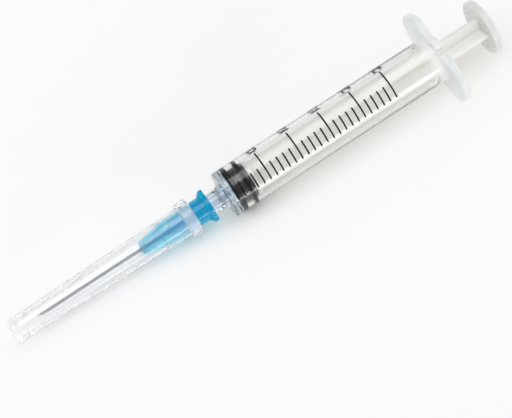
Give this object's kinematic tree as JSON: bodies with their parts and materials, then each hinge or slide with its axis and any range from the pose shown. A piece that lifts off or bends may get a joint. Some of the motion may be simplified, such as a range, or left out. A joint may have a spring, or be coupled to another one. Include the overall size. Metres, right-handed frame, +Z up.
{
  "type": "slip tip syringe with capped needle",
  "caption": "Small clear disposable syringe with a printed scale, black stopper, oval finger flange and a blue-hubbed needle under a clear cap.",
  "frame": {"origin": "the surface that the syringe lies on, under the middle of its length", "axes": "+Z up, +X towards the thumb disc and along the syringe, whose own axis rises 1.4 degrees towards the plunger because it lies on its oval flange and its shoulder; the needle points to -X"},
  "size_m": [0.1214, 0.0236, 0.0135],
  "materials": {
    "clear_barrel": "clear moulded polypropylene",
    "black_ink": "printed ink",
    "black_rubber": "satin, oiled",
    "milky_plastic": "milky translucent moulded",
    "blue_plastic": "tinted translucent moulded",
    "needle_steel": "drawn tube",
    "clear_glue": "cured resin",
    "clear_cap": "clear moulded, faintly cloudy"
  },
  "bodies": {
    "barrel": {"barrel": "clear_barrel", "scale_lines": "black_ink"},
    "plunger": {"plunger_rod": "milky_plastic", "stopper": "black_rubber"},
    "needle": {"needle_hub": "blue_plastic", "needle_tube": "needle_steel", "glue_bead": "clear_glue"},
    "cap": {"needle_cap": "clear_cap"}
  },
  "joints": [
    {"name": "plunger_slide", "type": "slide", "parent": "barrel", "child": "plunger", "axis": [0.9997, 0, 0.024], "range_m": [0, 0.046]},
    {"name": "needle_slide", "type": "slide", "parent": "barrel", "child": "needle", "axis": [-0.9997, 0, -0.024], "range_m": [0, 0.008]},
    {"name": "cap_slide", "type": "slide", "parent": "needle", "child": "cap", "axis": [-0.9997, 0, -0.024], "range_m": [0, 0.042]}
  ]
}
